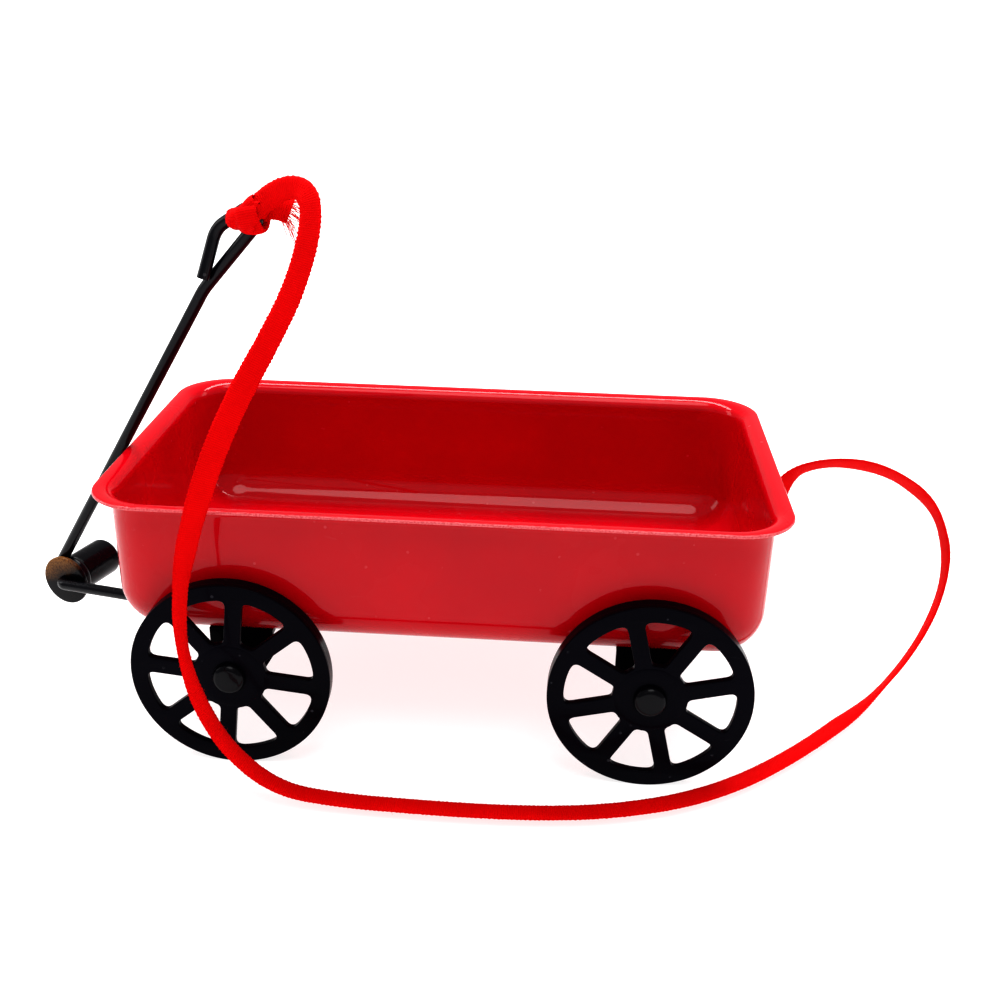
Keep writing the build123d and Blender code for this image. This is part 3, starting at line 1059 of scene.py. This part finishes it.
# ---------------------------------------------------------------- tongue, pivot and handle
@dataclass(frozen=True)
class Linkage:
    """Bent tongue wire, its pivot pieces and the pull handle; sizes in millimetres."""

    pin_bend: float = 1.3
    eye_sweep: float = 292.0
    eye_steps: int = 56
    grip_corners: tuple[tuple[float, float], ...] = ((59.9, 0.0), (74.1, -2.5), (74.6, -0.2),
                                                     (68.7, 2.5))
    grip_bends: tuple[float, ...] = (12.0, 1.35, 1.35, 3.5)
    grip_end: tuple[float, float] = (62.2, 0.1)
    grip_end_aside: float = 1.8
    disc_r: float = 4.15
    disc_t: float = 0.9
    neck_r: float = 1.85
    barrel_r: float = 3.15
    barrel_end: float = 12.6
    play: float = 0.05

    def build(self, finishes: Finishes) -> None:
        """Make the tongue wire, the handle, the disc and the barrel.

        Args:
            finishes: the materials.
        """
        wire = wire_group()
        eye = [EYE_CENTRE + EYE_MEAN * (-math.cos(a) * ALONG_PIN + math.sin(a) * FORWARD)
               for a in self.eye_angles(48)]
        arm = bent([ARM_START, ARM_BEND, ARM_BEND + ALONG_PIN * PIN_END], [self.pin_bend])
        self.sweep(wire, "tongue_bent_wire", [[*eye, *arm]], "tongue_wire", Body.WAGON, finishes)
        ring = [PIVOT + HANDLE_EYE * (math.cos(a) * TO_FRONT + math.sin(a) * UP_ROD)
                for a in self.eye_angles(self.eye_steps)]
        rod = bent([on_handle(0, 0), *(on_handle(*corner) for corner in self.grip_corners),
                    on_handle(*self.grip_end) - ALONG_PIN * self.grip_end_aside],
                   self.grip_bends)
        self.sweep(wire, "handle_bent_wire", [[*ring, *rod]], "pull_handle", Body.HANDLE, finishes)
        start = HANDLE_LANE - WIRE_R - self.play - self.disc_t
        end = start + self.disc_t
        disc = rounded([(WIRE_R, start), (self.disc_r, start), (self.disc_r, end), (WIRE_R, end)],
                       [0.30, 0.30], 6)
        disc = [*disc, disc[0]]
        flange = lathe("pivot_disc", disc, ARM_BEND, ALONG_PIN, 96, 30.0)
        body = HANDLE_LANE + WIRE_R + self.play
        shell = rounded([(self.neck_r, end), (self.neck_r, body), (self.barrel_r, body),
                         (self.barrel_r, self.barrel_end), (0.0, self.barrel_end)],
                        [0.05, 0.25, 1.0], 10)
        barrel = lathe("pivot_cap", [(0.0, end), *shell], ARM_BEND, ALONG_PIN, 96, 32.0)
        for piece, node in ((flange, "pivot_flange"), (barrel, "pivot_barrel")):
            finishes.dress(piece, Slot.BLACK_GLOSS)
            # The pivot disc gets a warm amber highlight painted on its upper front.
            if piece is flange:
                self.painted_highlight(flange)
            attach(piece, Body.WAGON.value)
            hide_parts(node)
        LOG.info("linkage built")

    def eye_angles(self, steps: int) -> list[float]:
        """Angles round an open wire eye.

        Args:
            steps: how many angles.

        Returns:
            The angles in radians; the sweep stops one step before zero.
        """
        return [math.radians(-self.eye_sweep + self.eye_sweep * s / steps) for s in range(steps)]

    def painted_highlight(self, flange: bpy.types.Object) -> None:
        """Paint a warm amber highlight on the upper front of the disc, the side that faces up and
        forward into the light.

        Args:
            flange: the disc; it gets an attribute and another finish in the same slot.
        """
        highlight_amount = flange.data.attributes.new("painted_highlight", "FLOAT", "POINT")
        toward = (FORWARD * 0.45 + Vector((0, 0, 0.9))).normalized()
        for vertex, value in zip(flange.data.vertices, highlight_amount.data):
            out = vertex.co / MM - ARM_BEND
            out -= ALONG_PIN * out.dot(ALONG_PIN)
            value.value = max(0.0, min(1.0, 1.6 * out.dot(toward) / self.disc_r - 0.3))
        flange.data.materials[0] = AMBER_HIGHLIGHT.build()

    @staticmethod
    def sweep(wire: Tree, name: str, paths: Sequence[Sequence[Vector]], node: str, body: Body,
              finishes: Finishes) -> None:
        """Sweep wire along paths and let it stand for a CAD node.

        Args:
            wire: the sweeping group.
            name: the piece's name.
            paths: the wire's centre lines, in millimetres.
            node: the CAD node that the piece replaces.
            body: the body it rides on.
            finishes: the materials.
        """
        piece = run_group(poly_curve(name + "_path", paths), wire,
                          {"Radius": WIRE_R * MM, "Sides": 28,
                           "Finish": finishes[Slot.BLACK_WIRE]}, name)
        tidy_normals(piece.data, 50.0)
        finishes.dress(piece, Slot.BLACK_WIRE)
        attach(piece, body.value)
        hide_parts(node)


# ---------------------------------------------------------------- ribbon
def path_length(path: Sequence[Vector]) -> float:
    """Length of a path."""
    return sum((b - a).length for a, b in zip(path, path[1:]))


def resample(path: Sequence[Vector], step: float) -> list[Vector]:
    """Points at equal spacing along a path.

    Args:
        path: the path.
        step: the spacing wanted, in the path's unit.

    Returns:
        The points, both ends among them.
    """
    total = path_length(path)
    count = max(2, round(total / step))
    result, index, walked = [path[0].copy()], 0, 0.0
    for number in range(1, count):
        goal = total * number / count
        while walked + (path[index + 1] - path[index]).length < goal:
            walked += (path[index + 1] - path[index]).length
            index += 1
        run = (path[index + 1] - path[index]).length
        result.append(path[index].lerp(path[index + 1], (goal - walked) / run))
    result.append(path[-1].copy())
    return result


@dataclass(frozen=True)
class Strip:
    """Narrow woven strip with a ragged selvedge, swept along a path in metres."""

    width: float = RIBBON_W
    thick: float = 0.34
    across: int = 8
    picot: float = 0.11
    pitch: float = 0.62
    step: float = 0.16

    def mesh(self, name: str, path: Sequence[Vector], faces: Sequence[tuple[float, Vector]],
             widths: Sequence[tuple[float, float]] = (), seed: int = SEED) -> bpy.types.Object:
        """Make the strip.

        Args:
            name: the piece's name.
            path: the centre line, in metres.
            faces: (distance in mm, direction the face looks) along the path.
            widths: (distance in mm, factor on the width) along the path.
            seed: seed of the selvedge.

        Returns:
            The strip, its UV across 0..1 and along in millimetres.
        """
        dice = random.Random(seed)
        points = resample(path, self.step * MM)
        total = path_length(points) / MM
        verts: list[Vector] = []
        coords: list[tuple[float, float]] = []
        ring = 2 * (self.across + 1)
        edge_noise = [dice.uniform(-1, 1) for _ in range(2 * len(points) + 4)]
        for index, here in enumerate(points):
            along = total * index / (len(points) - 1)
            low, high = max(0, index - 2), min(len(points) - 1, index + 2)
            tangent = (points[high] - points[low]).normalized()
            normal = self.between(faces, along)
            normal = (normal - tangent * normal.dot(tangent)).normalized()
            side = tangent.cross(normal).normalized()
            factor = self.between_numbers(widths, along) if widths else 1.0
            for layer in (1, -1):
                for column in range(self.across + 1):
                    u = column / self.across
                    place = u if layer > 0 else 1 - u
                    offset = (place - 0.5) * self.width * factor
                    end = 2 * abs(place - 0.5)
                    if end > 0.99:
                        tooth = self.picot * (0.5 + 0.5 * math.sin(math.tau * along / self.pitch))
                        tooth += 0.05 * edge_noise[2 * index + (place > 0.5)]
                        offset += math.copysign(tooth, offset)
                    height = layer * self.thick / 2 * math.sqrt(max(0.0, 1 - end ** 6 * 0.9))
                    height += 0.10 * (1 - (2 * place - 1) ** 2) - 0.05
                    verts.append(here + side * (offset * MM) + normal * (height * MM))
                    coords.append((place, along))
        faces_list = [list(range(ring)), list(range(len(verts) - ring, len(verts)))]
        for index in range(len(points) - 1):
            for column in range(ring):
                after = (column + 1) % ring
                a, b = index * ring, (index + 1) * ring
                faces_list.append([a + column, a + after, b + after, b + column])
        piece = mesh_object(name, verts, faces_list, 75.0)
        layer = piece.data.uv_layers.new(name="weave")
        for loop in piece.data.loops:
            layer.data[loop.index].uv = coords[loop.vertex_index]
        return piece

    @staticmethod
    def between(stations: Sequence[tuple[float, Vector]], along: float) -> Vector:
        """Direction between the stations, turned smoothly.

        Args:
            stations: (distance in mm, direction).
            along: where to look.

        Returns:
            The direction there.
        """
        if along <= stations[0][0]:
            return Vector(stations[0][1])
        for (a, da), (b, db) in zip(stations, stations[1:]):
            if along <= b:
                t = (along - a) / (b - a)
                t = t * t * (3 - 2 * t)
                return Vector(da).normalized().slerp(Vector(db).normalized(), t)
        return Vector(stations[-1][1])

    @staticmethod
    def between_numbers(stations: Sequence[tuple[float, float]], along: float) -> float:
        """Number between the stations.

        Args:
            stations: (distance in mm, number).
            along: where to look.

        Returns:
            The number there.
        """
        if along <= stations[0][0]:
            return stations[0][1]
        for (a, na), (b, nb) in zip(stations, stations[1:]):
            if along <= b:
                return na + (nb - na) * (along - a) / (b - a)
        return stations[-1][1]


@dataclass(frozen=True)
class HangingRibbon:
    """Ribbon tied to the grip, lying on the floor and fixed under the rear lip."""

    strip: Strip = Strip()
    winding: Strip = Strip(width=2.9, across=6, step=0.2)
    widths: tuple[tuple[float, float], ...] = ((0, 1.10), (5, 0.95), (11, 0.86), (20, 0.90),
                                               (36, 1.0), (300, 1.0))
    blend_start: tuple[float, float, float] = (-15, -36, 40)
    blend_end: tuple[float, float, float] = (-27, -36, 76)
    wrap_hold: tuple[float, float] = (72.8, -0.5)
    wrap_axis: tuple[tuple[float, float], tuple[float, float]] = ((68.7, 2.5), (74.1, -2.9))
    wraps: tuple[tuple[float, ...], ...] = ((1.6, 1.1, 1.30, -0.6, 0.4),
                                            (1.4, -0.8, 1.70, 0.6, 2.2),
                                            (1.3, 0.5, 1.98, 1.5, 4.0))
    lead: tuple[tuple[float, float, float], ...] = ((-17.9, -14.8, 75.6), (-17.6, -15.1, 76.9),
                                                    (-16.7, -14.7, 78.1), (-15.4, -14.4, 79.3),
                                                    (-14.0, -14.6, 80.3))
    collar: tuple[float, float, float] = (-16.9, -13.9, 77.9)
    collar_axis: tuple[float, float, float] = (0.70, -0.12, 0.70)
    collar_r: float = 1.45
    tail_route: tuple[tuple[float, float, float], ...] = ((-16.7, -13.1, 77.2), (-15.1, -13.3, 78.1),
                                                          (-13.4, -13.4, 78.2), (-12.0, -13.4, 77.8))
    tail_threads: int = 46
    thread_r: float = 0.045
    fibre_r: float = 0.018
    rear_centre: tuple[float, float, float] = (58.75, -1.9, 33.2)

    def centreline(self) -> list[Vector]:
        """Evaluate the route's spline.

        Returns:
            Points along it, in metres.
        """
        curve = bpy.data.curves.new("ribbon_route", "CURVE")
        curve.dimensions = "3D"
        curve.resolution_u = 24
        spline = curve.splines.new("NURBS")
        spline.points.add(len(ROUTE) - 1)
        for point, here in zip(spline.points, ROUTE):
            point.co = (*here, 1.0)
        spline.order_u = 3
        spline.use_endpoint_u = True
        line = bpy.data.objects.new("ribbon_route", curve)
        bpy.context.scene.collection.objects.link(line)
        graph = bpy.context.evaluated_depsgraph_get()
        mesh = bpy.data.meshes.new_from_object(line.evaluated_get(graph), depsgraph=graph)
        points = [vertex.co.copy() for vertex in mesh.vertices]
        bpy.data.meshes.remove(mesh)
        bpy.data.objects.remove(line, do_unlink=True)
        return points

    def fuzzed(self, piece: bpy.types.Object, finishes: Finishes, name: str, density: float,
               length: float, seed: int) -> bpy.types.Object:
        """Join loose fibres onto a strip.

        Args:
            piece: the strip, which is taken in.
            finishes: the materials.
            name: the new piece's name.
            density: fibres on a square millimetre.
            length: a fibre's length, in millimetres.
            seed: seed of the scatter.

        Returns:
            The strip with its fibres.
        """
        base = piece.copy()
        base.data = piece.data.copy()
        bpy.context.scene.collection.objects.link(base)
        fibres = run_group(base, fuzz_group(),
                           {"Density": density * 1e6, "Length": length * MM,
                            "Thickness": self.fibre_r * MM, "Seed": seed,
                            "Finish": finishes[Slot.RIBBON]}, name + "_fibres")
        result = join(name, [piece, fibres])
        return result

    def build(self, finishes: Finishes) -> None:
        """Make the ribbon, its knots and its frayed tail.

        Args:
            finishes: the materials.
        """
        path = self.centreline()
        length = path_length(path)
        faces = [(along, Vector(face)) for along, face in FACES]
        ribbon = self.strip.mesh("ribbon_band", path, faces, self.widths)
        ribbon = self.fuzzed(ribbon, finishes, "hanging_ribbon", 0.9, 0.42, SEED)
        finishes.dress(ribbon, Slot.RIBBON)
        knot = self.grip_knot(finishes)
        tail = self.tail(finishes)
        stop = self.rear_knot(finishes)
        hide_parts("ribbon")
        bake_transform(ribbon)
        ROUTE[0]
        [tuple(point) for point in resample(path, 0.8 * MM)]
        LOG.info("ribbon: %.1f mm, %d faces", length / MM, len(ribbon.data.polygons))

    def grip_knot(self, finishes: Finishes) -> bpy.types.Object:
        """Ribbon wound round the grip wire, with the collar that ties it.

        Args:
            finishes: the materials.

        Returns:
            The knot.
        """
        bands = []
        hold = on_handle(*self.wrap_hold)
        axis = (on_handle(*self.wrap_axis[1]) - on_handle(*self.wrap_axis[0])).normalized()
        side = ALONG_PIN.cross(axis).normalized()
        for number, (turns, pitch, radius, lift, phase) in enumerate(self.wraps):
            path, looks = [], []
            count = 90
            for step in range(count + 1):
                t = step / count
                angle = phase + math.tau * turns * t
                out = side * math.cos(angle) + ALONG_PIN * math.sin(angle)
                swell = radius + 0.16 * math.sin(3.0 * angle + number)
                path.append((hold + axis * (lift + pitch * turns * (t - 0.5)) + out * swell) * MM)
                looks.append(out)
            total = path_length(path) / MM
            faces = [(total * s / count, looks[s]) for s in range(0, count + 1, 3)]
            bands.append(self.winding.mesh(f"wrap_{number}", path, faces, seed=SEED + number))
        smooth = self.eased([Vector(point) for point in self.lead])
        bands.append(Strip(width=3.3, across=6, step=0.2).mesh(
            "lead", smooth, [(0, Vector((-0.5, -0.75, 0.4))), (9, Vector((-0.25, -0.88, 0.4)))],
            seed=SEED + 5))
        collar_centre = Vector(self.collar)
        along = Vector(self.collar_axis).normalized()
        u = along.orthogonal().normalized()
        v = along.cross(u)
        path, looks = [], []
        for step in range(73):
            angle = math.tau * 1.12 * step / 72
            out = u * math.cos(angle) * 1.15 + v * math.sin(angle) * 0.9
            path.append((collar_centre + out * self.collar_r + along * (0.5 * step / 72)) * MM)
            looks.append(out.normalized())
        total = path_length(path) / MM
        faces = [(total * s / 72, looks[s]) for s in range(0, 73, 3)]
        bands.append(Strip(width=2.6, across=6, step=0.2).mesh("collar", path, faces,
                                                               seed=SEED + 6))
        knot = join("knot_bands", bands)
        knot = self.fuzzed(knot, finishes, "grip_knot_wraps", 1.1, 0.4, SEED + 1)
        finishes.dress(knot, Slot.RIBBON)
        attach(knot, Body.HANDLE.value)
        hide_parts("ribbon_grip_knot")
        return knot

    def tail(self, finishes: Finishes) -> bpy.types.Object:
        """Short loose end with unravelled threads.

        Args:
            finishes: the materials.

        Returns:
            The tail.
        """
        path = self.eased([Vector(point) for point in self.tail_route])
        band = Strip(width=3.0, across=6, step=0.2).mesh(
            "tail_band", path, [(0, Vector((-0.1, -0.88, 0.45))), (6, Vector((0.1, -0.85, 0.5)))],
            [(0, 0.9), (3, 1.05), (6, 1.2)], seed=SEED + 9)
        dice = random.Random(SEED)
        end, heading = path[-1] / MM, (path[-1] - path[-3]).normalized()
        face = Vector((0.1, -0.85, 0.5))
        side = heading.cross(face).normalized()
        threads = []
        for number in range(self.tail_threads):
            spread = -1 + 2 * number / (self.tail_threads - 1)
            root = end + side * (spread * 1.6) - heading * dice.uniform(0.2, 1.0)
            reach = dice.uniform(1.2, 3.2)
            droop = Vector((0, 0, -1)) * dice.uniform(0.0, 1.5)
            aim = (heading + side * (spread * 0.75 + dice.uniform(-0.3, 0.3))
                   + face * dice.uniform(-0.35, 0.35)).normalized()
            threads.append([root + aim * (reach * t) + droop * t * t
                            + side * (0.16 * math.sin(5 * t + number)) * t
                            for t in (s / 7 for s in range(8))])
        loose = run_group(poly_curve("tail_threads_path", threads), wire_group(),
                          {"Radius": self.thread_r * MM, "Sides": 5, "Finish": finishes[Slot.RIBBON]},
                          "tail_threads")
        band = self.fuzzed(band, finishes, "tail_fuzz", 2.0, 0.5, SEED + 3)
        tail = join("ribbon_frayed_tail", [band, loose])
        finishes.dress(tail, Slot.RIBBON)
        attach(tail, Body.HANDLE.value)
        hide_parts("ribbon_tail")
        return tail

    def rear_knot(self, finishes: Finishes) -> bpy.types.Object:
        """Small knot held against the rear wall, below the lip.

        Args:
            finishes: the materials.

        Returns:
            The knot.
        """
        centre = Vector(self.rear_centre)
        path, looks = [], []
        for step in range(121):
            t = math.tau * step / 120
            x = math.sin(t) + 1.6 * math.sin(2 * t)
            y = math.cos(t) - 1.6 * math.cos(2 * t)
            z = -math.sin(3 * t)
            local = Vector((0.42 * z, 0.60 * x, 0.60 * y))
            path.append((centre + local) * MM)
            looks.append(Vector((0.7 + 0.25 * z, 0.25 * x, 0.25 * y)).normalized())
        total = path_length(path) / MM
        faces = [(total * s / 120, looks[s]) for s in range(0, 121, 3)]
        knot = Strip(width=1.7, across=6, step=0.2).mesh("rear_knot_band", path, faces,
                                                         seed=SEED + 11)
        knot = self.fuzzed(knot, finishes, "rear_knot_loops", 1.2, 0.4, SEED + 4)
        finishes.dress(knot, Slot.RIBBON)
        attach(knot, Body.WAGON.value)
        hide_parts("ribbon_rear_knot")
        return knot

    @staticmethod
    def eased(points: Sequence[Vector], steps: int = 12) -> list[Vector]:
        """Smooth curve through points.

        Args:
            points: the points, in millimetres.
            steps: how many steps from each point to the next.

        Returns:
            The curve's points, in metres.
        """
        padded = [points[0], *points, points[-1]]
        result = []
        for p0, p1, p2, p3 in zip(padded, padded[1:], padded[2:], padded[3:]):
            for step in range(steps):
                t = step / steps
                result.append(((2 * p1 + (p2 - p0) * t + (2 * p0 - 5 * p1 + 4 * p2 - p3) * t ** 2
                                + (3 * p1 - p0 - 3 * p2 + p3) * t ** 3) * 0.5) * MM)
        result.append(points[-1] * MM)
        return result


# ---------------------------------------------------------------- carried-over CAD pieces
CARRIED = {
    "front_axle_bracket": Slot.BLACK_ENAMEL, "rear_axle_bracket": Slot.BLACK_ENAMEL,
    "bracket_rivets": Slot.BLACK_ENAMEL, "tongue_rivet": Slot.BLACK_ENAMEL,
    "front_axle": Slot.STEEL, "rear_axle": Slot.STEEL,
    "front_near_spacer": Slot.BLACK_GLOSS, "front_far_spacer": Slot.BLACK_GLOSS,
    "rear_near_spacer": Slot.BLACK_GLOSS, "rear_far_spacer": Slot.BLACK_GLOSS,
}


# ---------------------------------------------------------------- studio
@dataclass(frozen=True)
class View:
    """Camera of the main view."""

    place: tuple[float, float, float] = (26.03, -188.56, 110.0)
    yaw: float = -4.17
    pitch: float = 26.23
    roll: float = 0.97
    lens: float = 46.02
    shift: tuple[float, float] = (0.03, 0.08)

    def build(self) -> None:
        """Make the camera and use it."""
        yaw, pitch, roll = (math.radians(a) for a in (self.yaw, self.pitch, self.roll))
        ahead = Vector((math.sin(yaw) * math.cos(pitch), math.cos(yaw) * math.cos(pitch),
                        -math.sin(pitch)))
        level = Vector((math.cos(yaw), -math.sin(yaw), 0.0))
        above = level.cross(ahead)
        right = level * math.cos(roll) + above * math.sin(roll)
        up = above * math.cos(roll) - level * math.sin(roll)
        data = bpy.data.cameras.new("camera")
        data.sensor_width = 36.0
        data.lens = self.lens
        data.shift_x, data.shift_y = self.shift
        data.clip_start, data.clip_end = 0.005, 60.0
        camera = bpy.data.objects.new("camera", data)
        turn = Matrix((right, up, -ahead)).transposed().to_4x4()
        camera.matrix_world = Matrix.Translation(mm(*self.place)) @ turn
        bpy.context.scene.collection.objects.link(camera)
        bpy.context.scene.camera = camera


@dataclass(frozen=True)
class Panel:
    """One soft light, its place and target in millimetres."""

    name: str
    place: tuple[float, float, float]
    target: tuple[float, float, float]
    size: tuple[float, float]
    power: float
    tint: Rgb = (1.0, 1.0, 1.0)

    def build(self) -> None:
        """Make the light."""
        data = bpy.data.lights.new(self.name, "AREA")
        data.shape = "RECTANGLE"
        data.size, data.size_y = self.size[0] * MM, self.size[1] * MM
        data.energy = self.power
        data.color = self.tint
        light = bpy.data.objects.new(self.name, data)
        light.location = mm(*self.place)
        aim = mm(*self.target) - light.location
        light.rotation_euler = aim.to_track_quat("-Z", "Y").to_euler()
        bpy.context.scene.collection.objects.link(light)


PANELS = (
    Panel("overhead", (10, 150, 460), (5, 10, 20), (640, 100), 2.6),
    Panel("left_side", (-520, 40, 260), (0, 0, 30), (160, 300), 0.40),
    Panel("right_side", (560, 120, 240), (0, 0, 30), (140, 300), 0.28),
    Panel("front_fill", (-80, -520, 420), (0, 0, 20), (600, 260), 0.12),
)


def build_studio() -> None:
    """Make the pale floor, the world and the lights."""
    world = bpy.data.worlds.new("studio")
    world.use_nodes = True
    back = world.node_tree.nodes["Background"]
    back.inputs["Color"].default_value = (1.0, 1.0, 1.0, 1.0)
    back.inputs["Strength"].default_value = 0.38
    bpy.context.scene.world = world
    material = bpy.data.materials.new("floor_paper")
    material.use_nodes = True
    tree = Tree(material.node_tree)
    shader = material.node_tree.nodes["Principled BSDF"]
    place = tree.add("ShaderNodeTexCoord").outputs["Object"]
    grain = tree.add("ShaderNodeTexNoise", {"Vector": place, "Scale": 40.0, "Detail": 6.0})
    tree.tree.links.new(tree.blend(grain.outputs["Fac"], rgba((0.50, 0.50, 0.50)),
                                   rgba((0.54, 0.54, 0.54))), shader.inputs["Base Color"])
    shader.inputs["Roughness"].default_value = 0.9
    shader.inputs["Specular IOR Level"].default_value = 0.1
    shader.inputs["Emission Color"].default_value = (1.0, 1.0, 1.0, 1.0)
    shader.inputs["Emission Strength"].default_value = 0.55
    floor = mesh_object("floor", [(-6, -4, -0.00002), (6, -4, -0.00002), (6, 9, -0.00002),
                                  (-6, 9, -0.00002)], [(0, 1, 2, 3)])
    floor.data.materials.append(material)
    for panel in PANELS:
        panel.build()
    sun = bpy.data.lights.new("sky_panel", "SUN")
    sun.energy = 0.9
    sun.angle = math.radians(34.0)
    lamp = bpy.data.objects.new("sky_panel", sun)
    lamp.rotation_euler = Vector((-0.05, 0.35, -1.0)).to_track_quat("-Z", "Y").to_euler()
    bpy.context.scene.collection.objects.link(lamp)


def main() -> None:
    """Build the whole scene."""
    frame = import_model()
    scene = bpy.context.scene
    scene.view_settings.view_transform = "Standard"
    scene.view_settings.look = "High Contrast"
    finishes = Finishes()
    View().build()
    HangingRibbon().build(finishes)
    Pan().build(finishes)
    for name, x, side, phase in (("front_near", FRONT_X, -1, -6.0), ("front_far", FRONT_X, 1, -20.0),
                                 ("rear_near", REAR_X, -1, 13.5), ("rear_far", REAR_X, 1, -33.0)):
        Wheel(name, x, side, phase).build(finishes)
    Linkage().build(finishes)
    for node, slot in CARRIED.items():
        piece = frame["nodes"][node]
        for index in range(len(piece.material_slots)):
            piece.material_slots[index].material = finishes[slot]
        LOG.info("%s keeps its CAD shape", node)
    build_studio()


if __name__ == "__main__":
    main()
